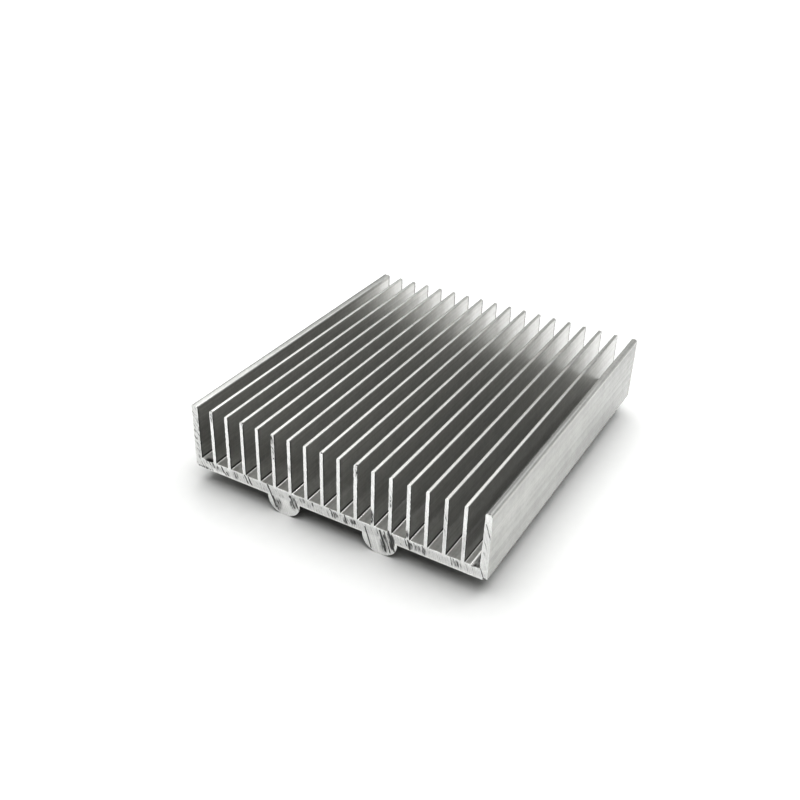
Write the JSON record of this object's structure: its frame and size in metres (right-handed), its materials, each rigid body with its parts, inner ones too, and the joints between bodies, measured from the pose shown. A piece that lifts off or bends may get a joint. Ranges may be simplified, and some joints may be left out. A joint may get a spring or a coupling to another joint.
{
  "type": "heat sink",
  "caption": "Extruded aluminium heat sink with a flat base, upright plate fins between thicker outer walls, and rounded ribs along its underside.",
  "frame": {"origin": "middle of the footprint, level with the crests of the ribs that it stands on", "axes": "+X across the fins, +Y along the extrusion, +Z from the base to the fin tips"},
  "size_m": [0.0882, 0.1, 0.0244],
  "materials": {
    "aluminium": "mill finish, with sawn ends"
  },
  "bodies": {
    "root": {"heat_sink": "aluminium"}
  },
  "joints": []
}
